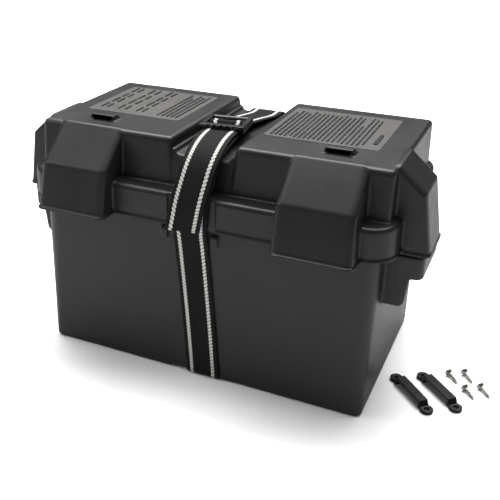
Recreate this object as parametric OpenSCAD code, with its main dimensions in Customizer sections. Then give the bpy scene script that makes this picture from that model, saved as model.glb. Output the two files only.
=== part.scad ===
// Snap-top battery box held shut by a webbing strap, the group 27 deep cycle battery
// inside it, and the two footman loops and four screws that fasten it to a floor.
// Millimetres. Origin: centre of the tub's underside, on the floor.
// +X runs along the box, -Y is the front with the two cable hoods, +Z is up.

/* [Tub] */
// length of the tub at its underside
tub_l = 340; // [337:0.5:342]
// width of the tub at its underside
tub_w = 200; // [198:0.5:200]
// height of the rim
tub_h = 191.5; // [189:0.5:191.5]
// how far each wall leans out between underside and rim
lean = 3.2; // [2:0.1:3.2]
// plan radius of the tub's corners at the underside
tub_r = 8; // [7:1:12]
// plan radius of the tub's corners at the rim
rim_r = 24; // [24:1:28]
// wall thickness of tub and lid
wall = 3; // [2.4:0.1:3]
// height of the handles' top plates
handle_z = 159.6; // [150:0.1:159.8]
// how far the handles reach out from the centre
handle_x = 206; // [200:1:208]

/* [Lid] */
// length over the skirt
skirt_l = 368; // [366:1:370]
// width over the skirt
skirt_w = 214; // [214:0.5:216]
// plan radius of the skirt's corners
skirt_r = 26; // [20:1:30]
// height of the skirt's lower edge
skirt_z = 163.6; // [163:0.1:165]
// height of the ledge round the platforms
ledge_z = 195; // [195:0.5:197]
// height of the platforms' tops
top_z = 240; // [236:1:244]
// length over both platforms
deck_l = 353; // [350:1:355]
// width of the platforms
deck_w = 168; // [166:1:170]
// width of the strap valley between the platforms' tops
valley_w = 64; // [60:1:68]
// width of the valley's floor
valley_floor_w = 54; // [50:1:56]
// height of the valley's floor
valley_z = 224.8; // [223:0.2:226]
// radius of the lid's outer edges
edge_r = 5; // [4:0.5:6]

/* [Strap and buckle] */
// width of the webbing
strap_w = 35; // [30:1:38]
// thickness of the webbing
strap_t = 1.6; // [1.2:0.1:1.8]
// width of the buckle
buckle_w = 44.5; // [44:0.5:48]
// length of the buckle
buckle_l = 41; // [40:1:43]
// turn of the buckle on the lid
buckle_turn = 8; // [5:1:10]
// height of the buckle's top face
buckle_z = 242; // [241:0.5:243]

/* [Battery] */
// length of the battery
batt_l = 306; // [300:1:306]
// width of the battery
batt_w = 173; // [170:1:173]
// height of the case's upper edge
case_z = 178; // [172:1:179]
// height of the cover's flange, just under the lid's ledge
cover_z = 191; // [187:0.5:191]
// height of the cover's raised vent block
block_z = 206; // [202:0.5:206]
// height of the pads round the posts and studs
pad_z = 201; // [197:0.5:203]
// distance of the terminal posts from the centre along the battery
post_x = 128; // [120:1:132]
// distance of the posts and studs in front of the centre
post_y = 62; // [56:1:64]
// distance of the threaded studs from the centre along the battery
stud_x = 98; // [92:1:100]
// distance of the vent row behind the centre
vent_y = 18; // [10:1:24]

/* [Hardware] */
// distance between the two screw holes of a footman loop
loop_pitch = 53; // [50:1:56]
// radius of the footman loops' screw holes
loop_hole_r = 2.2; // [2:0.1:2.4]
// length of a screw
screw_l = 18; // [16:1:20]

/* [Hidden] */
floor_t = 5;
chan_t = 2.6;
bead = 1.6;
end_z = skirt_z - 2.8;
back_r = 36;
draft = 4;
case_z0 = floor_t + 0.2;
cells = 6;
cell_pitch = (batt_l - 6 + 2) / cells;
cell_w = cell_pitch - 2;
plate_pitch = cell_w / 9.4;
plug_z = block_z - 6;
cap_top = block_z + 7.6;
buckle_at = [-6.2, -14.9];
front_hood = [[-72, 232], [-79.4, 236.97], [-114.6, 206.64], [-126.7, 151.9], [-72, 151.9]];
end_hood = [[-160, 232], [-174.9, 236.6], [-197.6, 216.5], [-207.3, 150], [-160, 150]];

// ---- shared shapes ----

module mirror_x() {
    children();
    mirror([1, 0, 0]) children();
}

// slab with rounded plan corners, standing on z = 0
module plan(l, w, r, h) {
    linear_extrude(h) {
        square([l - 2 * r, w], center = true);
        square([l, w - 2 * r], center = true);
        for (sx = [-1, 1], sy = [-1, 1])
            translate([sx * (l / 2 - r), sy * (w / 2 - r)])
                circle(r = r, $fn = 40);
    }
}

// slab with plan corners of radius r at the front and back_r at the back, set in by inset
module skirt_plan(inset, h) {
    l = skirt_l - 2 * inset;
    w = skirt_w - 2 * inset;
    rf = skirt_r - inset;
    rb = back_r - inset;
    linear_extrude(h)
        hull()
            for (sx = [-1, 1]) {
                translate([sx * (l / 2 - rf), -w / 2 + rf]) circle(r = rf, $fn = 44);
                translate([sx * (l / 2 - rb), w / 2 - rb]) circle(r = rb, $fn = 52);
            }
}

// skirt body whose upper edge is rounded by e
module skirt_slab(h, e) {
    hull() {
        skirt_plan(0, h - e);
        for (a = [30, 60, 90])
            translate([0, 0, h - e + e * sin(a) - 0.02])
                skirt_plan(e * (1 - cos(a)), 0.02);
    }
}

// webbing that follows a run of points lying in the box's cross plane
module web(points, w = strap_w, t = strap_t) {
    last = len(points) - 1;
    for (i = [0 : last - 1]) {
        a = points[i];
        b = points[i + 1];
        before = i > 0 ? points[i - 1] : a - (b - a);
        after = i < last - 1 ? points[i + 2] : b + (b - a);
        web_link(a, bend(before, a, b), b, bend(a, b, after), w, t);
    }
}

// direction halfway round a bend of the run, in the cross plane
function unit(v) = v / norm(v);
function flat(v) = [v[1], v[2]];
function bend(p, q, s) =
    let (u = unit(unit(flat(q - p)) + unit(flat(s - q))),
         k = max(0.7, u * unit(flat(s - q))))
    [-u[1] / k, u[0] / k];

// one straight link of webbing with mitred ends
module web_link(a, na, b, nb, w, t) {
    h = t / 2;
    polyhedron(
        points = [
            [a[0] - w / 2, a[1] + na[0] * h, a[2] + na[1] * h],
            [a[0] + w / 2, a[1] + na[0] * h, a[2] + na[1] * h],
            [a[0] + w / 2, a[1] - na[0] * h, a[2] - na[1] * h],
            [a[0] - w / 2, a[1] - na[0] * h, a[2] - na[1] * h],
            [b[0] - w / 2, b[1] + nb[0] * h, b[2] + nb[1] * h],
            [b[0] + w / 2, b[1] + nb[0] * h, b[2] + nb[1] * h],
            [b[0] + w / 2, b[1] - nb[0] * h, b[2] - nb[1] * h],
            [b[0] - w / 2, b[1] - nb[0] * h, b[2] - nb[1] * h]],
        faces = [[0, 1, 2, 3], [7, 6, 5, 4], [0, 4, 5, 1], [1, 5, 6, 2], [2, 6, 7, 3], [3, 7, 4, 0]]);
}

// ---- tub ----

module tub_form(inset, z0, z1) {
    rise = lean / tub_h;
    hull() {
        translate([0, 0, z0])
            plan(tub_l - 2 * inset - 3, tub_w - 2 * inset - 3, tub_r - inset - 1.5, 0.02);
        translate([0, 0, z0 + 2])
            plan(tub_l - 2 * inset, tub_w - 2 * inset, tub_r - inset, 0.02);
        translate([0, 0, z1 - 0.02])
            plan(tub_l - 2 * inset + 2 * rise * z1, tub_w - 2 * inset + 2 * rise * z1, rim_r - inset, 0.02);
    }
}

// cup handle hooked on the right end of the tub, open underneath for fingers
module handle() {
    difference() {
        translate([handle_x - 40, -32, handle_z - 22])
            plan(80, 76, 8, 22);
        translate([handle_x - wall - 40, -32, 0])
            plan(80, 76 - 2 * wall, 5, handle_z - wall);
        translate([0, -100, 0])
            cube([170.6, 200, 250]);
        translate([handle_x - 5, -100, handle_z - 22])
            rotate([0, 50, 0])
                translate([0, 0, -20])
                    cube([20, 200, 20]);
    }
    for (y = [-70, 3])
        translate([0, y + 3, 0])
            rotate([90, 0, 0])
                linear_extrude(3)
                    polygon([[170.6, 108], [188, 108], [192, 112], [195, 137], [197, 142], [170.6, 142]]);
}

module tub_body() {
    difference() {
        tub_form(0, 0, tub_h);
        tub_form(wall, floor_t, tub_h + 0.5);
        // channel under the floor for the strap
        translate([-28, -150, -1])
            cube([56, 300, chan_t + 1]);
    }
}

// ribs that keep the battery centred in the tub
module tub_ribs() {
    for (sx = [-1, 1], y = [-35, 35])
        hull()
            translate([sx * 161.6 - 8.15, y - 1.5, floor_t - 1])
                cube([16.3, 3, 140]);
    for (sy = [-1, 1], x = [-75, 75])
        hull()
            translate([x - 1.5, sy * 93.35 - 6.4, floor_t - 1])
                cube([3, 12.8, 140]);
}

// ears beside the strap, just below the lid
module strap_ear(x0, x1, side) {
    hull() {
        translate([x0, side * 104.4 - 2.4, 149])
            cube([x1 - x0, 4.8, 8]);
        translate([x0, side * 104.4, 157])
            rotate([0, 90, 0])
                cylinder(r = 2.4, h = x1 - x0, $fn = 24);
    }
}

module box_base() {
    color([0.10, 0.10, 0.10]) {
        tub_body();
        mirror_x() handle();
        tub_ribs();
        strap_ear(-33, -26, -1);
        strap_ear(19, 26, -1);
        strap_ear(-30, -23, 1);
        strap_ear(23, 30, 1);
    }
}

// ---- lid ----

// raised deck on the right half; cut is how far every face is set in
module deck(cut) {
    r = edge_r - cut;
    x1 = deck_l / 2 - edge_r;
    y1 = deck_w / 2 - edge_r;
    hull() {
        for (sy = [-1, 1]) {
            translate([valley_w / 2 + edge_r, sy * y1, top_z - edge_r]) sphere(r = r, $fn = 24);
            translate([x1, sy * y1, top_z - edge_r]) sphere(r = r, $fn = 24);
            translate([valley_floor_w / 2 + edge_r, sy * (y1 + draft), ledge_z - 8]) cylinder(r = r, h = 8, $fn = 24);
            translate([x1, sy * (y1 + draft), ledge_z - 8]) cylinder(r = r, h = 8, $fn = 24);
        }
    }
}

// block that joins the two decks and carries the strap valley
module valley_block(cut) {
    r = 4;
    half = valley_floor_w / 2 + 4 + 1.7 * cut;
    hull() {
        for (sy = [-1, 1])
            translate([-half, sy * (deck_w / 2 - cut - r), valley_z - cut - r])
                rotate([0, 90, 0])
                    cylinder(r = r, h = 2 * half, $fn = 24);
        translate([-half, -deck_w / 2 - draft + cut, ledge_z - 8])
            cube([2 * half, deck_w + 2 * draft - 2 * cut, 8]);
    }
}

// concave fillets along the two sides of the valley's floor
module valley_fillets() {
    f = 4.5;
    mirror_x()
        translate([valley_floor_w / 2 + 5.2, deck_w / 2 - 2, valley_z - 0.2])
            rotate([90, 0, 0])
                linear_extrude(deck_w - 4)
                    polygon(concat([[0, -1]], [for (a = [0 : 18 : 90]) [-f * (1 - sin(a)) - 0.2 * cos(a) - 3.2, f * (1 - cos(a))]],
                        [[0, f]]));
}

// hood that stands out from a wall along -Y between x = s0 and s1
module hood(path, s0, s1, flare, cut) {
    r = 4 - cut;
    wide = (7 - cut) / r;
    hull()
        for (p = path) {
            f = p[1] < 180 ? flare : 0;
            translate([s0 + 7, p[0], p[1]]) scale([wide, 1, 1]) sphere(r = r, $fn = 20);
            translate([s1 - 7 + f, p[0], p[1]]) scale([wide, 1, 1]) sphere(r = r, $fn = 20);
        }
}

module hoods(cut) {
    mirror_x() {
        hood(front_hood, 84, 155, 2.5, cut);
        rotate([0, 0, 90])
            hood(end_hood, -69.6, -14.8, 1, cut);
    }
}

// narrow bead round the lower edge of the skirt and hoods
module lower_bead() {
    intersection() {
        union() {
            skirt_plan(-bead, 300);
            mirror_x()
                translate([120.75, -99, 0]) plan(73.5 + 2 * bead, 59.2 + 2 * bead, 7 + bead, 300);
        }
        translate([-300, -300, skirt_z]) cube([600, 600, 2.4]);
    }
    mirror_x()
        translate([180, -41.7, end_z]) plan(58.4 + 2 * bead, 55.8 + 2 * bead, 6 + bead, 2.4);
}

// small scoop with an open front, on a deck; x is its centre
module scoop(x, y, w) {
    translate([x, y, top_z])
        difference() {
            hull() {
                translate([-w / 2, 0, -1]) cube([w, 7, 6.2]);
                translate([-w / 2 - 1.2, 0, -1]) cube([w + 2.4, 14, 1.2]);
            }
            translate([-w / 2 + 1.6, -1, 0]) cube([w - 3.2, 9, 3.8]);
        }
}

module lid_shell() {
    color([0.16, 0.16, 0.16]) {
        difference() {
            union() {
                translate([0, 0, skirt_z])
                    skirt_slab(ledge_z - skirt_z, 4);
                mirror_x() deck(0);
                valley_block(0);
                hoods(0);
                lower_bead();
            }
            // everything below the lower edge
            translate([-300, -300, 100]) cube([600, 600, end_z - 100]);
            translate([-300, -300, 100]) cube([600, 229, skirt_z - 100]);
            translate([-skirt_l / 2 + wall, -300, 100]) cube([skirt_l - 2 * wall, 600, skirt_z - 100]);
            // hollow of the skirt
            translate([0, 0, skirt_z - 1])
                skirt_plan(wall, ledge_z - wall - skirt_z + 1);
            mirror_x() deck(wall);
            valley_block(wall);
            hoods(wall);
            // shallow channels in the skirt for the strap
            for (sy = [-1, 1])
                translate([-25, sy * 110 - 4.6, skirt_z - 1])
                    cube([50, 9.2, ledge_z + 0.6 - skirt_z]);
        }
        // thicker skirt behind the channels
        for (sy = [-1, 1])
            translate([-27, sy * 104.3 - 0.6, skirt_z])
                cube([54, 1.2, ledge_z - skirt_z - 1]);
        // ribs that centre the lid over the tub's ends
        for (sx = [-1, 1], y = [-80, 10, 60])
            translate([sx * 178 - 4.2, y - 1.5, skirt_z + 3])
                cube([8.4, 3, ledge_z - skirt_z - 4]);
        valley_fillets();
        scoop(-120, -62, 25);
        scoop(121, -61, 25);
    }
}

// ---- strap ----

module strap_lower() {
    color([0.07, 0.07, 0.07])
        web([[-2.5, -106.1, 162.4], [-2.3, -103.8, 150], [1.2, -103.2, 110], [9, -101.5, 7],
            [9.2, -101.35, 2.3], [9.2, -100.3, 1.3], [9.2, 0, 1.3], [9.2, 100.3, 1.3],
            [9.2, 101.35, 2.3], [9, 101.5, 7], [4, 103.2, 110], [2.6, 103.8, 150], [2.4, 106.1, 162.4]]);
}

module strap_front() {
    color([0.07, 0.07, 0.07])
        web([[-1.8, -106.8, 164.2], [0.4, -107.2, 194], [0.8, -106.4, 197.4], [2, -86.6, 227],
            [2, -83, 228.6], [-1.9, -41, 232.6], [-4, -26, 232.7]]);
}

module strap_rear() {
    color([0.07, 0.07, 0.07])
        web([[-7.4, -6, 232.9], [-8.6, 8.6, 232.7], [-6, 24, 230.6], [0, 66, 226.4], [1, 82.6, 226.2], [1.2, 85.8, 224.4],
            [2.2, 106.4, 197.4], [2.3, 107.2, 194], [2.4, 106.8, 164.2]]);
}

module strap_tail() {
    color([0.07, 0.07, 0.07])
        web([[-3, -38, 236.9], [-2, -50, 236.9], [-0.5, -62, 236.2], [1.7, -76, 234.4], [2.9, -88, 230.2],
            [2.6, -98, 221.5], [1.4, -105.5, 209], [-0.1, -110, 198], [-2, -111.8, 188], [-3.9, -113.2, 176],
            [-5.8, -115, 163]]);
}

// ladder buckle: side bars, rear bar, centre bar and a toothed front bar
module buckle_frame() {
    bw = buckle_w;
    bl = buckle_l;
    color([0.05, 0.05, 0.05])
        translate([buckle_at[0], buckle_at[1], buckle_z])
            rotate([0, 0, buckle_turn]) {
                for (sx = [-1, 1])
                    translate([sx * (bw / 2 - 2.25) - 2.25, -bl / 2 + 1, -7.4])
                        cube([4.5, bl - 2, 7]);
                // rear bar
                translate([-bw / 2 + 0.6, bl / 2 - 3, -4])
                    rotate([0, 90, 0])
                        cylinder(r = 3, h = bw - 1.2, $fn = 24);
                // centre bar
                translate([-bw / 2 + 1, 3, -4.2])
                    rotate([0, 90, 0])
                        cylinder(r = 2, h = bw - 2, $fn = 24);
                // toothed front bar
                difference() {
                    translate([-bw / 2, -bl / 2, -3.6]) cube([bw, 7.5, 3.6]);
                    for (i = [-2 : 2])
                        translate([i * 6.6 - 1.6, -bl / 2 - 1, -4]) cube([3.2, 3.4, 5]);
                }
            }
}

// ---- loose hardware ----

// footman loop lying along X, centred between its two holes
module footman_loop() {
    half = loop_pitch / 2;
    color([0.06, 0.06, 0.06])
        difference() {
            union() {
                for (sx = [-1, 1])
                    translate([sx * half, 0, 0]) cylinder(r = 6.2, h = 3, $fn = 40);
                rotate([90, 0, 0])
                    linear_extrude(9.6, center = true)
                        polygon([[-half, 0], [-half + 7.4, 0], [-half + 8.6, 5], [half - 8.6, 5], [half - 7.4, 0],
                            [half, 0], [half, 3], [half - 3.6, 3], [half - 6.4, 8], [-half + 6.4, 8],
                            [-half + 3.6, 3], [-half, 3]]);
            }
            for (sx = [-1, 1]) {
                translate([sx * half, 0, -1]) cylinder(r = loop_hole_r, h = 12, $fn = 40);
                translate([sx * half, 0, 3]) cylinder(r = 4.2, h = 8, $fn = 40);
            }
        }
}

module footman_loop_front() {
    translate([205.1, -42.4, 0])
        rotate([0, 0, -46])
            footman_loop();
}

module footman_loop_rear() {
    translate([229, -28, 0])
        rotate([0, 0, -45])
            footman_loop();
}

// countersunk wood screw along +X from its head, axis at z = 0
module screw() {
    rotate([0, 90, 0])
        difference() {
            rotate_extrude($fn = 28)
                polygon([[0, 0], [3.5, 0.4], [3.5, 1], [1.75, 3.2], [1.75, screw_l - 5], [0, screw_l]]);
            for (a = [0, 90])
                rotate([0, 0, a])
                    translate([-1.9, -0.45, -1]) cube([3.8, 0.9, 2]);
        }
}

module mounting_screws() {
    color([0.72, 0.70, 0.66])
        for (s = [[232, 7, -48], [246.2, 14.7, -52], [250.5, -12.2, -49], [264.1, -3.3, -50]])
            translate([s[0], s[1], 3.55])
                rotate([0, 9.5, s[2]])
                    screw();
}

// ---- battery ----

module battery_case() {
    color([0.13, 0.13, 0.14])
        difference() {
            translate([0, 0, case_z0]) plan(batt_l, batt_w, 4, case_z - case_z0);
            for (i = [0 : cells - 1])
                translate([(i - 2.5) * cell_pitch - cell_w / 2, -batt_w / 2 + 3, case_z0 + 4])
                    cube([cell_w, batt_w - 6, 250]);
            // notches for the connectors between cells
            for (i = [1 : cells - 1])
                translate([(i - 3) * cell_pitch - 2, (i % 2 == 1 ? 1 : -1) * 46 - 9, case_z - 14])
                    cube([4, 18, 20]);
        }
}

// where the posts and studs stand: [x, radius of the pad, radius of the hole]
function poles() = [[post_x, 16.5, 12.3], [-post_x, 16.5, 12.3], [stud_x, 15, 10.3], [-stud_x, 15, 10.3]];

module battery_cover() {
    color([0.12, 0.12, 0.13])
        difference() {
            union() {
                translate([0, 0, case_z + 0.2]) plan(batt_l, batt_w, 4, cover_z - case_z - 0.2);
                // raised block that carries the vents
                translate([0, 19, cover_z - 1]) plan(batt_l - 10, 110, 6, block_z - cover_z + 1);
                for (p = poles())
                    translate([p[0], -post_y, cover_z - 1]) cylinder(r = p[1], h = pad_z - cover_z + 1, $fn = 40);
            }
            translate([0, 0, case_z - 1]) plan(batt_l - 6, batt_w - 6, 3, cover_z - case_z - 2);
            for (i = [0 : cells - 1])
                translate([(i - 2.5) * cell_pitch, vent_y, case_z]) cylinder(r = 9, h = 40, $fn = 32);
            for (p = poles())
                translate([p[0], -post_y, case_z]) cylinder(r = p[2], h = 40, $fn = 36);
        }
}

// gang cap over three vents, with a plug for each; side is -1 or +1
module vent_cap(side) {
    color([0.16, 0.16, 0.18]) {
        translate([side * 1.5 * cell_pitch, vent_y, block_z + 0.3])
            plan(3 * cell_pitch - 20, 30, 8, cap_top - block_z - 0.3);
        for (i = [0 : 2])
            translate([side * (i + 0.5) * cell_pitch, vent_y, plug_z])
                difference() {
                    cylinder(r = 8.6, h = block_z + 1 - plug_z, $fn = 32);
                    translate([0, 0, -1]) cylinder(r = 6.4, h = block_z + 0.3 - plug_z, $fn = 32);
                }
    }
}

module vent_cap_left() {
    vent_cap(-1);
}

module vent_cap_right() {
    vent_cap(1);
}

// tapered lead post with its bushing in the cover
module terminal_post(x, r) {
    color([0.55, 0.55, 0.57])
        translate([x, -post_y, 0]) {
            translate([0, 0, pad_z]) cylinder(r1 = r, r2 = r - 1, h = 18, $fn = 48);
            translate([0, 0, case_z - 5]) cylinder(r = 12, h = pad_z + 1 - case_z + 5, $fn = 48);
        }
}

module terminal_post_pos() {
    terminal_post(post_x, 9.8);
}

module terminal_post_neg() {
    terminal_post(-post_x, 8.9);
}

// stainless stud standing in a lead pad beside the post; side is -1 or +1
module terminal_stud(side) {
    color([0.6, 0.6, 0.62])
        translate([side * stud_x, -post_y, 0]) {
            translate([0, 0, case_z + 4]) cylinder(r = 10, h = pad_z + 2 - case_z - 4, $fn = 40);
            translate([0, 0, pad_z]) cylinder(r = 4, h = 23, $fn = 32);
        }
}

module terminal_stud_pos() {
    terminal_stud(1);
}

module terminal_stud_neg() {
    terminal_stud(-1);
}

module stud_washers() {
    color([0.78, 0.78, 0.8])
        for (sx = [-1, 1])
            translate([sx * stud_x, -post_y, pad_z + 2.1])
                difference() {
                    cylinder(r = 9, h = 1.6, $fn = 40);
                    translate([0, 0, -1]) cylinder(r = 4.3, h = 4, $fn = 32);
                }
}

module wing_nut(side) {
    color([0.8, 0.8, 0.78])
        translate([side * stud_x, -post_y, pad_z + 4.2])
            difference() {
                union() {
                    cylinder(r1 = 8, r2 = 6.2, h = 7, $fn = 36);
                    for (sx = [-1, 1])
                        rotate([90, 0, 0])
                            linear_extrude(2.6, center = true)
                                polygon([[sx * 4.6, 1], [sx * 9, 3], [sx * 13, 9], [sx * 13.6, 13], [sx * 11.4, 14.4],
                                    [sx * 8.4, 12.6], [sx * 5.4, 7]]);
                }
                translate([0, 0, -1]) cylinder(r = 4.3, h = 20, $fn = 32);
            }
}

module wing_nut_pos() {
    wing_nut(1);
}

module wing_nut_neg() {
    wing_nut(-1);
}

// plate stack of every cell; odd slots hold the positive plates
module plates(first, count, t, h, tab_sign) {
    for (i = [0 : cells - 1], j = [0 : count - 1]) {
        x = (i - 2.5) * cell_pitch + (first + 2 * j - 4) * plate_pitch;
        s = tab_sign * (i % 2 == 0 ? 1 : -1);
        translate([x - t / 2, -74, case_z0 + 12]) cube([t, 148, h]);
        translate([x - t / 2, s * 46 - 7, case_z0 + 12]) cube([t, 14, h + 12]);
    }
}

module positive_plates() {
    color([0.36, 0.22, 0.16]) plates(1, 4, 2.2, 128, -1);
}

module negative_plates() {
    color([0.42, 0.43, 0.45]) plates(0, 5, 1.8, 128, 1);
}

module separators() {
    color([0.86, 0.85, 0.80])
        for (i = [0 : cells - 1], j = [0 : 7])
            translate([(i - 2.5) * cell_pitch + (j - 3.5) * plate_pitch - 0.5, -77, case_z0 + 8])
                cube([1, 154, 137]);
}

// cast lead bars over the plate tabs, joined from cell to cell and to the posts
module cell_connectors() {
    z = case_z0 + 12 + 140;
    color([0.50, 0.51, 0.54]) {
        for (i = [0 : cells - 1], s = [-1, 1])
            translate([(i - 2.5) * cell_pitch - cell_w / 2 + 1.5, s * 46 - 8, z + 0.1])
                cube([cell_w - 3, 16, 8]);
        for (i = [1 : cells - 1])
            translate([(i - 3) * cell_pitch - 5, (i % 2 == 1 ? 1 : -1) * 46 - 7, case_z - 12])
                cube([10, 14, 6]);
        for (i = [1 : cells - 1], s = [-1, 1])
            translate([(i - 3) * cell_pitch + s * 4.5 - 2.5, (i % 2 == 1 ? 1 : -1) * 46 - 7, z + 4])
                cube([5, 14, case_z - 6 - z - 4]);
        for (s = [-1, 1])
            translate([s * 2.5 * cell_pitch - 6, -56, z + 6])
                cube([12, 12, case_z - 6 - z - 6]);
        for (s = [-1, 1])
            translate([s * 2.5 * cell_pitch - 8, -68, case_z - 10])
                cube([16, 24, 4.8]);
    }
}

box_base();
lid_shell();
strap_lower();
strap_front();
strap_rear();
strap_tail();
buckle_frame();
footman_loop_front();
footman_loop_rear();
mounting_screws();
battery_case();
battery_cover();
vent_cap_left();
vent_cap_right();
terminal_post_pos();
terminal_post_neg();
terminal_stud_pos();
terminal_stud_neg();
stud_washers();
wing_nut_pos();
wing_nut_neg();
positive_plates();
negative_plates();
separators();
cell_connectors();
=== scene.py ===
import math
import random

import bmesh
import bpy
from mathutils import Matrix, Vector


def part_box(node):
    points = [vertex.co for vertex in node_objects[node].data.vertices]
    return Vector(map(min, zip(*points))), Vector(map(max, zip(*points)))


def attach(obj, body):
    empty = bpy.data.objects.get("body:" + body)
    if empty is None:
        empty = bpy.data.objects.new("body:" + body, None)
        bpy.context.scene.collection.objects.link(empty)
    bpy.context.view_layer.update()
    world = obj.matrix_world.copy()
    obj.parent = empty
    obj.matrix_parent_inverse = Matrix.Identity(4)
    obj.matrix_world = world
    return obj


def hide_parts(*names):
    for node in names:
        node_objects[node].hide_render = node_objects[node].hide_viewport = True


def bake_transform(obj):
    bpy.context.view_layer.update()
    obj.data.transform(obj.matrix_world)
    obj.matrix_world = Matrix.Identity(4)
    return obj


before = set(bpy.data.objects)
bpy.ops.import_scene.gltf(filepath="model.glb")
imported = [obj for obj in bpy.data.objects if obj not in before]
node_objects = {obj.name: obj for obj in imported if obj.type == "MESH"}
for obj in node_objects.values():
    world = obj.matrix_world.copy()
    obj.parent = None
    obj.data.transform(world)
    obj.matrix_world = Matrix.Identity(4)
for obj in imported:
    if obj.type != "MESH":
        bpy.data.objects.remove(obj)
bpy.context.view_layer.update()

MM = 0.001
scene = bpy.context.scene

# webbing, in millimetres
HALF_W, HALF_T = 17.5, 0.8
ACROSS = [-17.5, -17.35, -16.9, -15.9, -14.4, -13.5, -13.1, -12.3,
          -11.4, -10.5, -9.7, -9.3, -8.9, -7.2, -4.8, -2.4]
ACROSS = ACROSS + [0.0] + [-a for a in reversed(ACROSS)]
STRIPE_AT, STRIPE_HALF = 11.5, 2.1  # centre and half width of the two pale stripes
TWIST = 3.7  # length of one turn of the stripes' cord
RIB_LIFT, STRIPE_LIFT, CORD_LIFT = 0.09, 0.22, 0.11
EDGE_ROUND = {0: 0.0, 1: 0.62, 2: 0.92}  # share of the thickness at the outermost points
STEP = 1.0

# buckle's centre and turn on the lid, as in the CAD model
BUCKLE_X, BUCKLE_Y, BUCKLE_TURN = -6.2, -14.9, 8

# screws on the floor: x, y and turn, as in the CAD model
SCREWS = ((232, 7, -48), (246.2, 14.7, -52), (250.5, -12.2, -49), (264.1, -3.3, -50))

SCOOP_ABOVE_DECK = 5.2  # the scoops are the lid's highest point
FLOOR_Z = -0.0004


# ---------------------------------------------------------------- camera

def make_camera():
    """Camera at the photograph's viewing angle."""
    cam = bpy.data.objects.new("camera", bpy.data.cameras.new("camera"))
    scene.collection.objects.link(cam)
    yaw, pitch, roll = (math.radians(a) for a in (25.1, 23.3, 0.2))
    level = math.cos(pitch)
    fwd = Vector((-math.sin(yaw) * level, math.cos(yaw) * level, -math.sin(pitch)))
    right = Vector((math.cos(yaw), math.sin(yaw), 0))
    up = right.cross(fwd)
    r2 = math.cos(roll) * right + math.sin(roll) * up
    u2 = -math.sin(roll) * right + math.cos(roll) * up
    m = Matrix((r2, u2, -fwd)).transposed().to_4x4()
    m.translation = Vector((0.2913, -0.6926, 0.4656))
    cam.matrix_world = m
    cam.data.lens = 56.2
    cam.data.sensor_width = 36
    cam.data.shift_x = 0.084
    cam.data.shift_y = -0.083
    cam.data.clip_start = 0.01
    scene.camera = cam


# ---------------------------------------------------------------- materials

class Nodes:
    """Small helper that builds a node material."""

    def __init__(self, name):
        self.mat = bpy.data.materials.new(name)
        self.mat.use_nodes = True
        self.tree = self.mat.node_tree
        self.bsdf = self.tree.nodes["Principled BSDF"]
        self.coord = self.add("ShaderNodeTexCoord").outputs["Object"]

    def add(self, kind, **props):
        n = self.tree.nodes.new(kind)
        for k, v in props.items():
            setattr(n, k, v)
        return n

    def link(self, a, b):
        self.tree.links.new(a, b)

    def noise(self, scale, detail=3.0, rough=0.5, coord=None):
        n = self.add("ShaderNodeTexNoise")
        n.inputs["Scale"].default_value = scale
        n.inputs["Detail"].default_value = detail
        n.inputs["Roughness"].default_value = rough
        self.link(coord or self.coord, n.inputs["Vector"])
        return n.outputs["Fac"]

    def math(self, op, a, b=None):
        n = self.add("ShaderNodeMath", operation=op)
        for i, v in enumerate((a, b)):
            if v is None:
                continue
            if isinstance(v, (int, float)):
                n.inputs[i].default_value = v
            else:
                self.link(v, n.inputs[i])
        return n.outputs[0]

    def ramp(self, fac, lo, hi, out_lo, out_hi):
        n = self.add("ShaderNodeMapRange")
        n.clamp = True
        self.link(fac, n.inputs[0])
        for i, v in zip((1, 2, 3, 4), (lo, hi, out_lo, out_hi)):
            n.inputs[i].default_value = v
        return n.outputs[0]

    def mix(self, fac, a, b):
        n = self.add("ShaderNodeMix", data_type="RGBA")
        if isinstance(fac, (int, float)):
            n.inputs[0].default_value = fac
        else:
            self.link(fac, n.inputs[0])
        for i, v in zip((6, 7), (a, b)):
            if isinstance(v, tuple):
                n.inputs[i].default_value = (*v, 1)
            else:
                self.link(v, n.inputs[i])
        return n.outputs[2]

    def attribute(self, name):
        return self.add("ShaderNodeAttribute", attribute_name=name).outputs["Fac"]

    def bump(self, height, distance, strength=1.0, after=None):
        n = self.add("ShaderNodeBump")
        n.inputs["Distance"].default_value = distance
        n.inputs["Strength"].default_value = strength
        self.link(height, n.inputs["Height"])
        if after is not None:
            self.link(after, n.inputs["Normal"])
        return n.outputs["Normal"]

    def out(self, color, rough, normal=None, metallic=0.0, specular=0.5):
        for socket, v in (("Base Color", color), ("Roughness", rough), ("Normal", normal)):
            if v is None:
                continue
            if isinstance(v, tuple):
                self.bsdf.inputs[socket].default_value = (*v, 1)
            elif isinstance(v, (int, float)):
                self.bsdf.inputs[socket].default_value = v
            else:
                self.link(v, self.bsdf.inputs[socket])
        self.bsdf.inputs["Metallic"].default_value = metallic
        self.bsdf.inputs["Specular IOR Level"].default_value = specular
        return self.mat


def plastic(name, dark, light, rough, grain=0.00004, cells=1400.0, specular=0.5, mottle=18.0):
    """Moulded plastic: fine spark-eroded grain, faint flow marks and handling marks."""
    n = Nodes(name)
    cloud = n.noise(mottle, 4.0, 0.6)
    fine = n.noise(cells, 2.0, 0.6)
    mid = n.noise(260.0, 3.0, 0.5)
    color = n.mix(n.ramp(cloud, 0.35, 0.7, 0.0, 1.0), dark, light)
    color = n.mix(n.ramp(fine, 0.52, 0.74, 0.0, 0.35), color, tuple(min(1, c * 1.5) for c in light))
    r = n.ramp(cloud, 0.3, 0.75, rough - 0.05, rough + 0.05)
    r = n.math("ADD", r, n.ramp(mid, 0.3, 0.7, -0.03, 0.03))
    normal = n.bump(fine, grain, 0.8)
    normal = n.bump(mid, grain * 2.0, 0.5, normal)
    return n.out(color, r, normal, specular=specular)


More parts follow.
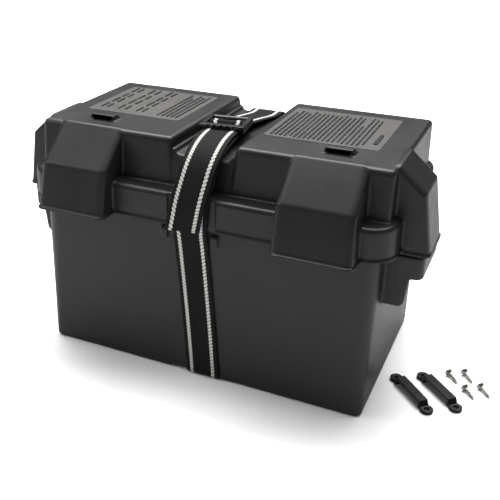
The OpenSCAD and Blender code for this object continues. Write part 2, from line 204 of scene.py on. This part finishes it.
def metal(name, dark, light, rough, brushed=False):
    """Metal with fine scratches, cast or brushed."""
    n = Nodes(name)
    coord = n.coord
    if brushed:
        m = n.add("ShaderNodeMapping")
        m.inputs["Scale"].default_value = (1.0, 1.0, 14.0)
        n.link(coord, m.inputs["Vector"])
        coord = m.outputs[0]
    fine = n.noise(900.0, 3.0, 0.6, coord)
    cloud = n.noise(90.0, 3.0, 0.6)
    color = n.mix(n.ramp(cloud, 0.35, 0.65, 0.0, 1.0), dark, light)
    r = n.ramp(fine, 0.3, 0.7, rough - 0.06, rough + 0.08)
    r = n.math("ADD", r, n.ramp(cloud, 0.3, 0.7, -0.04, 0.05))
    return n.out(color, r, n.bump(fine, 0.00005, 0.7), metallic=1.0)


def mineral(name, dark, light, rough, cells=700.0):
    """Porous matt surface: pasted plates and separators."""
    n = Nodes(name)
    fine = n.noise(cells, 5.0, 0.7)
    cloud = n.noise(60.0, 3.0, 0.5)
    both = n.math("ADD", fine, n.math("MULTIPLY", cloud, 0.5))
    color = n.mix(n.ramp(both, 0.55, 0.95, 0.0, 1.0), dark, light)
    return n.out(color, rough, n.bump(fine, 0.00012, 1.0), specular=0.3)


def webbing(name):
    """Woven strap: the weave follows the attributes along (s) and across (u) in millimetres."""
    n = Nodes(name)
    s, u = n.attribute("web_s"), n.attribute("web_u")
    warp = n.math("SINE", n.math("MULTIPLY", u, 2 * math.pi / 1.15))
    weft = n.math("SINE", n.math("MULTIPLY", s, 2 * math.pi / 2.0))
    weave = n.math("MULTIPLY", warp, weft)
    off = n.math("DIVIDE", n.math("SUBTRACT", n.math("ABSOLUTE", u), STRIPE_AT), STRIPE_HALF)
    along = n.math("MULTIPLY", s, 2 * math.pi / TWIST)
    twist = n.math("SINE", n.math("ADD", along, n.math("MULTIPLY", off, 1.9)))
    body = n.math("SUBTRACT", 1.0, n.math("ABSOLUTE", off))
    body = n.math("ADD", body, n.math("MULTIPLY", twist, 0.17))
    stripe = n.ramp(body, 0.12, 0.3, 0.0, 1.0)
    fuzz = n.noise(1800.0, 3.0, 0.7)
    # painted shade: the black yarn is painted darker (0.003 against 0.009) in the hollows of the weave,
    # where its bump height is lowest
    black = n.ramp(weave, -0.6, 0.8, 0.0, 1.0)
    black = n.mix(black, (0.003, 0.003, 0.0033), (0.009, 0.009, 0.0094))
    black = n.mix(n.ramp(fuzz, 0.45, 0.75, 0.0, 0.3), black, (0.022, 0.022, 0.022))
    # painted shade: the pale stripes are painted darker (0.27 against 0.56) in the grooves of the cord's
    # twist, where the stripe's surface dips
    pale = n.mix(n.ramp(twist, -0.9, 0.1, 0.0, 1.0), (0.27, 0.265, 0.25), (0.56, 0.55, 0.52))
    pale = n.mix(n.ramp(fuzz, 0.35, 0.7, 0.2, 0.0), pale, (0.42, 0.41, 0.39))
    color = n.mix(stripe, black, pale)
    height = n.math("ADD", n.math("MULTIPLY", weave, 0.5), n.math("MULTIPLY", fuzz, 0.4))
    height = n.math("ADD", height, n.math("MULTIPLY", stripe, 1.2))
    rough = n.ramp(fuzz, 0.3, 0.7, 0.72, 0.9)
    mat = n.out(color, rough, n.bump(height, 0.00022, 0.9), specular=0.16)
    n.bsdf.inputs["Sheen Weight"].default_value = 0.03
    n.bsdf.inputs["Sheen Roughness"].default_value = 0.4
    return mat


def make_materials():
    return {
        "tub": plastic("tub_plastic_look", (0.0145, 0.0145, 0.0139), (0.0185, 0.0184, 0.0176),
                       0.43, specular=0.32),
        "lid": plastic("lid_plastic_look", (0.0074, 0.0074, 0.0071), (0.0106, 0.0105, 0.01),
                       0.4, specular=0.38),
        "panel": plastic("panel_look", (0.035, 0.0328, 0.0305), (0.049, 0.046, 0.0425),
                         0.58, 0.00008, 900.0),
        "buckle": plastic("buckle_look", (0.007, 0.0072, 0.0075), (0.012, 0.012, 0.0125),
                          0.3, 0.00002),
        "loop": plastic("loop_look", (0.0015, 0.0015, 0.0016), (0.0035, 0.0035, 0.0036),
                        0.34, 0.00003, specular=0.22),
        "web": webbing("webbing_look"),
        "screw": metal("screw_look", (0.27, 0.255, 0.232), (0.56, 0.54, 0.508), 0.26),
        "case": plastic("case_look", (0.012, 0.012, 0.013), (0.02, 0.02, 0.021), 0.4),
        "cover": plastic("cover_look", (0.011, 0.011, 0.012), (0.018, 0.018, 0.019),
                         0.46, 0.00007, 700.0),
        "cap": plastic("cap_look", (0.014, 0.014, 0.017), (0.026, 0.026, 0.03), 0.38),
        "lead": metal("lead_look", (0.22, 0.225, 0.235), (0.36, 0.365, 0.375), 0.5),
        "steel": metal("steel_look", (0.5, 0.5, 0.5), (0.7, 0.7, 0.69), 0.24, True),
        "plate_pos": mineral("plate_pos_look", (0.11, 0.05, 0.03), (0.2, 0.1, 0.06), 0.85),
        "plate_neg": mineral("plate_neg_look", (0.13, 0.14, 0.15), (0.24, 0.25, 0.26), 0.8),
        "separator": mineral("separator_look", (0.6, 0.58, 0.5), (0.78, 0.76, 0.69), 0.75, 400.0),
    }


# ---------------------------------------------------------------- mesh helpers

def new_object(name, mesh, mat):
    ob = bpy.data.objects.new(name, mesh)
    scene.collection.objects.link(ob)
    mesh.materials.clear()
    mesh.materials.append(mat)
    mesh.polygons.foreach_set("use_smooth", [True] * len(mesh.polygons))
    mesh.update()
    return ob


def bake(ob):
    """Replace the object's mesh by its evaluated mesh."""
    deps = bpy.context.evaluated_depsgraph_get()
    mesh = bpy.data.meshes.new_from_object(ob.evaluated_get(deps), depsgraph=deps)
    ob.modifiers.clear()
    ob.data = mesh


def moulded(name, node, mat, voxel, smooth, faces):
    """Piece with the node's shape whose edges and corners are rounded as a moulding's are."""
    src = node_objects[node]
    bm = bmesh.new()
    bm.from_mesh(src.data)
    bm.transform(src.matrix_world)
    mesh = bpy.data.meshes.new(name)
    bm.to_mesh(mesh)
    bm.free()
    ob = new_object(name, mesh, mat)
    m = ob.modifiers.new("remesh", "REMESH")
    m.mode = "VOXEL"
    m.voxel_size = voxel * 1.0
    m = ob.modifiers.new("smooth", "SMOOTH")
    m.factor = 0.5
    m.iterations = max(2, int(smooth / (1.0)))
    bake(ob)
    count = len(ob.data.polygons)
    m = ob.modifiers.new("decimate", "DECIMATE")
    m.ratio = min(1.0, faces / (2.0 * count))
    bake(ob)
    finish_mesh(ob, mat)
    return ob


def finish_mesh(ob, mat):
    """One material, smooth shading and weighted normals."""
    me = ob.data
    me.materials.clear()
    me.materials.append(mat)
    me.polygons.foreach_set("use_smooth", [True] * len(me.polygons))
    me.polygons.foreach_set("material_index", [0] * len(me.polygons))
    me.update()
    m = ob.modifiers.new("weighted", "WEIGHTED_NORMAL")
    m.weight = 60
    m.keep_sharp = True


def mesh_piece(name, bm, mat, bevel=0.0):
    """Finished piece from a bmesh, its edges bevelled if asked."""
    bmesh.ops.recalc_face_normals(bm, faces=bm.faces)
    mesh = bpy.data.meshes.new(name)
    bm.to_mesh(mesh)
    bm.free()
    ob = new_object(name, mesh, mat)
    if bevel:
        m = ob.modifiers.new("bevel", "BEVEL")
        m.width = bevel
        m.segments = 2
        m.limit_method = "ANGLE"
        m.angle_limit = math.radians(35)
        m.harden_normals = False
        bake(ob)
    finish_mesh(ob, mat)
    return ob


# ---------------------------------------------------------------- strap

def resample(points, step):
    """Smooth curve through (x, y, z, turn) points in millimetres, at even steps."""
    pts = [list(p) + [0.0] * (4 - len(p)) for p in points]
    before = [2 * a - b for a, b in zip(pts[0], pts[1])]
    after = [2 * a - b for a, b in zip(pts[-1], pts[-2])]
    pts = [before] + pts + [after]
    dense = []

    def gap(a, b):
        return max(1e-6, math.dist(a[:3], b[:3]) ** 0.5)

    for i in range(1, len(pts) - 2):
        p0, p1, p2, p3 = pts[i - 1:i + 3]
        t0 = 0.0
        t1 = t0 + gap(p0, p1)
        t2 = t1 + gap(p1, p2)
        t3 = t2 + gap(p2, p3)
        n = max(4, int(math.dist(p1[:3], p2[:3]) / 0.5))
        for k in range(n):
            t = t1 + (t2 - t1) * k / n
            a1 = [(t1 - t) / (t1 - t0) * a + (t - t0) / (t1 - t0) * b for a, b in zip(p0, p1)]
            a2 = [(t2 - t) / (t2 - t1) * a + (t - t1) / (t2 - t1) * b for a, b in zip(p1, p2)]
            a3 = [(t3 - t) / (t3 - t2) * a + (t - t2) / (t3 - t2) * b for a, b in zip(p2, p3)]
            b1 = [(t2 - t) / (t2 - t0) * a + (t - t0) / (t2 - t0) * b for a, b in zip(a1, a2)]
            b2 = [(t3 - t) / (t3 - t1) * a + (t - t1) / (t3 - t1) * b for a, b in zip(a2, a3)]
            w = (t - t1) / (t2 - t1)
            dense.append([(t2 - t) / (t2 - t1) * a + w * b for a, b in zip(b1, b2)])
    dense.append(pts[-2])
    run = [0.0]
    for a, b in zip(dense, dense[1:]):
        run.append(run[-1] + math.dist(a[:3], b[:3]))
    count = max(4, round(run[-1] / step))
    out, j = [], 0
    for k in range(count + 1):
        want = run[-1] * k / count
        while j < len(run) - 2 and run[j + 1] < want:
            j += 1
        f = (want - run[j]) / max(1e-9, run[j + 1] - run[j])
        out.append([a + (b - a) * f for a, b in zip(dense[j], dense[j + 1])])
    return out, run[-1]


def strap_piece(name, points, mat, phase=0.0, angled_end=0.0):
    """Woven ribbon with real cross ribs and two raised stripes.

    points are (x, y, z, turn about Z in degrees); angled_end slants the last cut, in millimetres.
    Returns the piece and its length in metres.
    """
    path, length = resample(points, STEP)
    n = len(path)
    pos = [Vector(p[:3]) for p in path]
    tangents = []
    for i in range(n):
        a, b = pos[max(0, i - 1)], pos[min(n - 1, i + 1)]
        tangents.append((b - a).normalized())
    verts, faces, s_at, u_at = [], [], [], []
    m = len(ACROSS)
    ring = 2 * m - 2
    rows = [(k, 1) for k in range(m)] + [(k, -1) for k in range(m - 2, 0, -1)]
    for i in range(n):
        t = tangents[i]
        turn = math.radians(path[i][3])
        wide = Vector((math.cos(turn), math.sin(turn), 0))
        wide = (wide - t * wide.dot(t)).normalized()
        up = wide.cross(t).normalized()
        s = phase + length * i / (n - 1)
        rib = RIB_LIFT * math.cos(math.pi * s)
        for k, side in rows:
            u = ACROSS[k]
            edge = EDGE_ROUND.get(min(k, m - 1 - k), 1.0)
            off = (abs(u) - STRIPE_AT) / STRIPE_HALF
            if abs(off) < 1.0:
                bulge = 1 - off * off
                twist = math.sin(2 * math.pi * s / TWIST + 1.9 * off)
                lift = STRIPE_LIFT * math.sqrt(bulge) + CORD_LIFT * twist * bulge
            else:
                lift = rib * edge
            fray = 0.12 * math.sin(s * 3.1 + u) if k in (0, m - 1) else 0.0
            skew = angled_end * u / HALF_W * max(0.0, 1 - (n - 1 - i) / 25.0)
            height = side * (HALF_T * edge - 0.12) + side * lift
            p = pos[i] + wide * (u + fray) + up * height + t * skew
            verts.append(p * MM)
            s_at.append(s)
            u_at.append(u)
    for i in range(n - 1):
        a, b = i * ring, (i + 1) * ring
        for k in range(ring):
            k2 = (k + 1) % ring
            faces.append((a + k, b + k, b + k2, a + k2))
    for base, flip in ((0, False), ((n - 1) * ring, True)):
        for k in range(m - 1):
            low = [(ring - j) % ring for j in (k, k + 1)]
            q = [base + k, base + k + 1, base + low[1], base + low[0]]
            q = [x for j, x in enumerate(q) if x not in q[:j]]
            if len(q) > 2:
                faces.append(tuple(reversed(q)) if flip else tuple(q))
    mesh = bpy.data.meshes.new(name)
    mesh.from_pydata(verts, [], faces)
    bm = bmesh.new()
    bm.from_mesh(mesh)
    bmesh.ops.recalc_face_normals(bm, faces=bm.faces)
    bm.to_mesh(mesh)
    bm.free()
    for key, values in (("web_s", s_at), ("web_u", u_at)):
        layer = mesh.attributes.new(key, "FLOAT", "POINT")
        layer.data.foreach_set("value", values)
    ob = new_object(name, mesh, mat)
    return ob, length * MM


def make_strap(mats):
    """Strap: its run under the tub and over the lid, its loop in the buckle and its loose tail."""
    main = [
        # from the buckle over the lid's front edge and down the front
        (-3.0, -27, 232.9, 6), (-2.2, -41, 232.6, 4), (-0.2, -62, 230.9, 1), (2.0, -82, 228.7, 0),
        (2.2, -87.5, 226.3, 0), (2.2, -97, 212, 0), (0.9, -106.6, 197.2, 0), (0.6, -107.9, 192, 0),
        (-1.5, -107.2, 170, 0), (-2.2, -105.2, 156, 0), (-1.6, -104.1, 146, 0), (1.6, -103.4, 110, 0),
        (6.0, -102.5, 55, 0), (9.0, -101.7, 9, 0), (9.2, -101.5, 3.6, 0),
        # under the tub, in its channel
        (9.2, -100.3, 1.5, 0), (9.2, -97, 1.3, 0), (9.2, -60, 1.3, 0), (9.2, 0, 1.3, 0),
        (9.2, 60, 1.3, 0), (9.2, 97, 1.3, 0), (9.2, 100.3, 1.5, 0),
        # up the back and over the lid to the buckle
        (9.2, 101.5, 3.6, 0), (9.0, 101.7, 9, 0), (6, 102.5, 55, 0), (4, 103.4, 110, 0),
        (2.8, 104.1, 146, 0), (2.6, 105.2, 156, 0), (2.5, 107.2, 170, 0), (2.3, 107.9, 192, 0),
        (2.2, 106.6, 197.2, 0), (1.7, 97, 211, 0), (1.2, 86.6, 225, 0), (1.0, 82, 227.3, 0),
        (0.2, 66, 227.2, 0), (-3, 44, 229.4, 3), (-6.0, 24, 231.4, 6), (-7.8, 8, 232.5, 8),
        (-7.4, -3, 232.9, 8)]
    piece, length = strap_piece("strap_main", main, mats["web"])
    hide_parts("strap_lower", "strap_front", "strap_rear")
    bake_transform(piece)
    # loop over the buckle's centre bar; moves with the buckle
    a = math.radians(BUCKLE_TURN)
    ca, sa = math.cos(a), math.sin(a)
    loop = [(BUCKLE_X - sa * y, BUCKLE_Y + ca * y, z, BUCKLE_TURN) for y, z in (
        (11.5, 234.3), (8.2, 234.9), (6.4, 236.6), (5.4, 239.1), (3.2, 240.5), (0.6, 239.6),
        (-1.4, 237.4), (-4.0, 236.2), (-9.0, 236.0), (-15.0, 236.6), (-18.8, 236.9))]
    piece, length = strap_piece("strap_loop", loop, mats["web"], 0.6)
    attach(piece, "buckle")
    # tail from the toothed bar to its cut end
    tail = [(-3.4, -34.6, 236.9, 8), (-3.0, -42, 237.0, 6), (-2, -50, 236.9, 3),
            (-0.5, -62, 236.2, 0), (1.7, -76, 234.4, 0), (2.9, -88, 230.0, 0),
            (2.6, -98, 221.5, 0), (1.4, -105.5, 209, 0), (-0.1, -110.2, 198, 0),
            (-2, -112, 188, 0), (-3.9, -113.4, 176, 0), (-5.8, -115, 163.2, 0)]
    piece, length = strap_piece("strap_tail_web", tail, mats["web"], 0.2, angled_end=-4.0)
    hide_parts("strap_tail")
    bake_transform(piece)


# ---------------------------------------------------------------- lid panels

def rounded_slab(bm, x0, x1, y0, y1, z0, z1, r, n=6):
    """Upright slab with rounded corners, in millimetres."""
    ring = []
    for cx, cy, a0 in ((x1 - r, y1 - r, 0), (x0 + r, y1 - r, 90),
                       (x0 + r, y0 + r, 180), (x1 - r, y0 + r, 270)):
        for k in range(n + 1):
            a = math.radians(a0 + 90 * k / n)
            ring.append((cx + r * math.cos(a), cy + r * math.sin(a)))
    low = [bm.verts.new(Vector((x, y, z0)) * MM) for x, y in ring]
    top = [bm.verts.new(Vector((x, y, z1)) * MM) for x, y in ring]
    bm.faces.new(top)
    bm.faces.new(list(reversed(low)))
    for i in range(len(ring)):
        j = (i + 1) % len(ring)
        bm.faces.new((low[i], low[j], top[j], top[i]))


def make_panels(mats):
    """Raised panels on the decks, with plain generic bars where a maker would put moulded text."""
    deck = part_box("lid_shell")[1].z / MM - SCOOP_ABOVE_DECK
    rng = random.Random(7)
    for name, x0, x1, y0 in (("panel_right", 41, 151, -38), ("panel_left", -156, -50, -34)):
        bm = bmesh.new()
        rounded_slab(bm, x0, x1, y0, 63, deck - 0.6, deck + 0.35, 3)
        panel = mesh_piece(name, bm, mats["panel"], 0.0002)
        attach(panel, "lid")
    z0, z1 = deck + 0.2, deck + 1.15
    # right panel: rows of broken bars and one short bar beside them
    bm = bmesh.new()
    for i in range(20):
        x = 47.0 + 4.55 * i
        y0 = -33.0 + (rng.random() * 6 if i % 5 == 4 else 0)
        y1 = 56.0 - rng.random() * (34 if i in (0, 3, 9, 16) else 8)
        y = y0
        while y < y1 - 3:
            run = 5.0 + 9.0 * rng.random()
            e = min(y + run, y1)
            rounded_slab(bm, x - 0.85, x + 0.85, y, e, z0, z1, 0.7, 3)
            y = e + 1.5
    rounded_slab(bm, 141.6, 145.4, -22, 6, z0, z1 + 0.2, 1.2, 4)
    bars = mesh_piece("panel_bars_right", bm, mats["lid"], 0.00015)
    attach(bars, "lid")
    # left panel: five rows of bars and a grid of paired short bars
    bm = bmesh.new()
    for i in range(5):
        x = -57.0 - 5.2 * i
        y0, y1 = -26.0, 56.0 - (4 * i if i % 2 else 0)
        y = y0
        while y < y1 - 3:
            e = min(y + 10 + 18 * rng.random(), y1)
            rounded_slab(bm, x - 1.0, x + 1.0, y, e, z0, z1, 0.8, 3)
            y = e + 1.6
    for i in range(3):
        for j in range(4):
            cx, cy = -146.0 + 21.0 * i + 2, -22.0 + 21.0 * j
            w, l = 6.5 + 1.5 * (i % 2), 15.0 + 2 * (j % 2)
            rounded_slab(bm, cx - w / 2, cx - w / 2 + 2.2, cy, cy + l, z0, z1, 0.9, 3)
            rounded_slab(bm, cx + w / 2 - 0.2, cx + w / 2 + 2.0, cy + 1, cy + l - 1,
                         z0, z1, 0.9, 3)
    bars = mesh_piece("panel_bars_left", bm, mats["lid"], 0.00015)
    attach(bars, "lid")


# ---------------------------------------------------------------- screws

def screw_mesh(bm, place, length=18.0):
    """Countersunk wood screw with a helical thread and a cross recess; head at x = 0, tip at +x."""
    start = len(bm.verts)
    seg, pitch = 40, 1.9
    rows = []

    def circle(x, r):
        return [Vector((x, r * math.cos(2 * math.pi * k / seg), r * math.sin(2 * math.pi * k / seg)))
                for k in range(seg)]

    # recessed top of the head
    for r in (0.0, 0.35, 0.7, 1.05, 1.4, 1.75, 2.1, 2.5, 3.0, 3.4, 3.62):
        ring = []
        for k in range(seg):
            a = 2 * math.pi * k / seg
            y, z = r * math.cos(a), r * math.sin(a)
            arm = min(abs(y), abs(z))
            reach = max(abs(y), abs(z))
            dome = 0.22 * (r / 3.62) ** 2
            depth = 0.0
            if reach < 2.15 and arm < 0.62:
                depth = 1.25 * (1 - reach / 2.6) * min(1.0, (0.75 - arm) / 0.3)
            ring.append(Vector((dome + depth, y, z)))
        rows.append(ring)
    for x, r in ((0.45, 3.75), (0.75, 3.72), (1.2, 3.3), (1.9, 2.62), (2.6, 1.98), (3.1, 1.62)):
        rows.append(circle(x, r))
    n = 120
    for i in range(1, n + 1):
        x = 3.1 + (length - 3.1) * i / n
        taper = min(1.0, (length - x) / 4.2) if x > length - 4.2 else 1.0
        ring = []
        for k in range(seg):
            a = 2 * math.pi * k / seg
            ph = ((x / pitch - a / (2 * math.pi)) % 1.0)
            crest = max(0.0, 1 - abs(ph - 0.5) / 0.26)
            grow = min(1.0, max(0.0, (x - 4.6) / 1.6))
            fade = max(0.0, min(1.0, taper * 1.3 - 0.1))
            r = (1.02 + 0.42 * (1 - grow)) * max(0.04, taper) + 0.55 * crest * grow * fade
            ring.append(Vector((x, r * math.cos(a), r * math.sin(a))))
        rows.append(ring)
    vs = [[bm.verts.new(place @ (p * MM)) for p in ring] for ring in rows]
    for a, b in zip(vs, vs[1:]):
        for k in range(seg):
            bm.faces.new((a[k], a[(k + 1) % seg], b[(k + 1) % seg], b[k]))
    bm.faces.new(vs[-1])
    bmesh.ops.remove_doubles(bm, verts=list(bm.verts)[start:], dist=1e-7)


def make_screws(mats):
    """Four screws lying on the floor, each rolled to its own angle."""
    bm = bmesh.new()
    for i, (x, y, yaw) in enumerate(SCREWS):
        place = Matrix.Translation(Vector((x, y, 3.7)) * MM)
        for angle, axis in ((yaw, "Z"), (9.0, "Y"), (20 + 33 * i, "X")):
            place = place @ Matrix.Rotation(math.radians(angle), 4, axis)
        screw_mesh(bm, place)
    ob = mesh_piece("screws", bm, mats["screw"])
    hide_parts("mounting_screws")
    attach(ob, "tub")


# ---------------------------------------------------------------- lights and floor

def area(name, loc, target, size, energy):
    """Rectangular studio light that points at its target."""
    data = bpy.data.lights.new(name, "AREA")
    data.shape = "RECTANGLE"
    data.size, data.size_y = size
    data.energy = energy
    ob = bpy.data.objects.new(name, data)
    scene.collection.objects.link(ob)
    ob.location = loc
    ob.rotation_euler = (Vector(target) - Vector(loc)).to_track_quat("-Z", "Y").to_euler()


def make_stage():
    """Soft studio lights, a white world and a plain pale floor, painted darker where the plastics reflect
    it.
    """
    area("softbox_top", (-0.2, 0.75, 1.9), (0, 0, 0.15), (2.4, 1.8), 100)
    area("softbox_left", (-1.6, -0.9, 1.3), (0, 0, 0.12), (0.9, 1.2), 13)
    area("strip_front", (0.35, -1.9, 1.9), (0, 0, 0.1), (2.2, 0.35), 2.5)
    # even light on the floor, kept out of the plastics' gloss
    sun = bpy.data.lights.new("overhead", "SUN")
    sun.energy = 1.8
    sun.angle = math.radians(50)
    ob = bpy.data.objects.new("overhead", sun)
    scene.collection.objects.link(ob)
    ob.rotation_euler = (math.radians(-8), 0, 0)
    ob.visible_glossy = False
    scene.view_settings.view_transform = "Standard"
    world = bpy.data.worlds.new("studio")
    scene.world = world
    world.use_nodes = True
    tree = world.node_tree
    back = tree.nodes["Background"]
    back.inputs[0].default_value = (1, 1, 1, 1)
    path = tree.nodes.new("ShaderNodeLightPath")
    mr = tree.nodes.new("ShaderNodeMapRange")
    tree.links.new(path.outputs["Is Camera Ray"], mr.inputs[0])
    mr.inputs[3].default_value = 0.12
    mr.inputs[4].default_value = 1.1
    tree.links.new(mr.outputs[0], back.inputs[1])
    mesh = bpy.data.meshes.new("floor")
    s = 4.0
    corners = [(x, y, FLOOR_Z) for x, y in ((-s, -s), (s, -s), (s, s), (-s, s))]
    mesh.from_pydata(corners, [], [(0, 1, 2, 3)])
    n = Nodes("floor_look")
    cloud = n.noise(3.0, 2.0, 0.5)
    pale = n.mix(n.ramp(cloud, 0.3, 0.7, 0.0, 1.0), (0.94, 0.94, 0.94), (0.97, 0.97, 0.97))
    # painted shade: in glossy rays the floor is painted mid grey (0.52) in place of its white, so its
    # reflections in the plastics' upright faces come out darker than the lit floor
    gloss = n.add("ShaderNodeLightPath").outputs["Is Glossy Ray"]
    mat = n.out(n.mix(gloss, pale, (0.52, 0.52, 0.52)), 0.85, specular=0.2)
    floor = new_object("floor", mesh, mat)


# ---------------------------------------------------------------- CAD nodes that stay

def dress(node, mat, bevel=0.0):
    """Material and bevelled edges for a node that keeps its CAD mesh."""
    ob = node_objects[node]
    if not ob.material_slots:
        ob.data.materials.append(mat)
    for s in ob.material_slots:
        s.material = mat
    if bevel:
        m = ob.modifiers.new("edge", "BEVEL")
        m.width = bevel
        m.segments = 2
        m.limit_method = "ANGLE"
        m.angle_limit = math.radians(40)


def main():
    make_camera()
    mats = make_materials()

    # piece, CAD node, material, voxel in metres, smoothing rounds, faces, body and slot
    for name, node, look, voxel, rounds, faces, body, slot in (
            ("tub_moulding", "box_base", "tub", 0.0013, 4, 42000, "tub", "tub_plastic"),
            ("lid_moulding", "lid_shell", "lid", 0.0010, 4, 80000, "lid", "lid_plastic"),
            ("buckle_moulding", "buckle_frame", "buckle", 0.00035, 4, 14000, "buckle", "buckle_plastic"),
            ("loop_moulding_front", "footman_loop_front", "loop", 0.0004, 5, 9000, "tub", "loop_plastic"),
            ("loop_moulding_rear", "footman_loop_rear", "loop", 0.0004, 5, 9000, "tub", "loop_plastic")):
        ob = moulded(name, node, mats[look], voxel, rounds, faces)
        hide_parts(node)
        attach(ob, body)

    make_panels(mats)
    make_strap(mats)
    make_screws(mats)

    for node, look, bevel in (
            ("battery_case", "case", 0.0006), ("battery_cover", "cover", 0.0006),
            ("vent_cap_left", "cap", 0.0008), ("vent_cap_right", "cap", 0.0008),
            ("terminal_post_pos", "lead", 0.0005), ("terminal_post_neg", "lead", 0.0005),
            ("terminal_stud_pos", "steel", 0.0004), ("terminal_stud_neg", "steel", 0.0004),
            ("stud_washers", "steel", 0.0002),
            ("wing_nut_pos", "steel", 0.0004), ("wing_nut_neg", "steel", 0.0004),
            ("positive_plates", "plate_pos", 0.0), ("negative_plates", "plate_neg", 0.0),
            ("separators", "separator", 0.0), ("cell_connectors", "lead", 0.0006)):
        dress(node, mats[look], bevel)

    make_stage()


main()
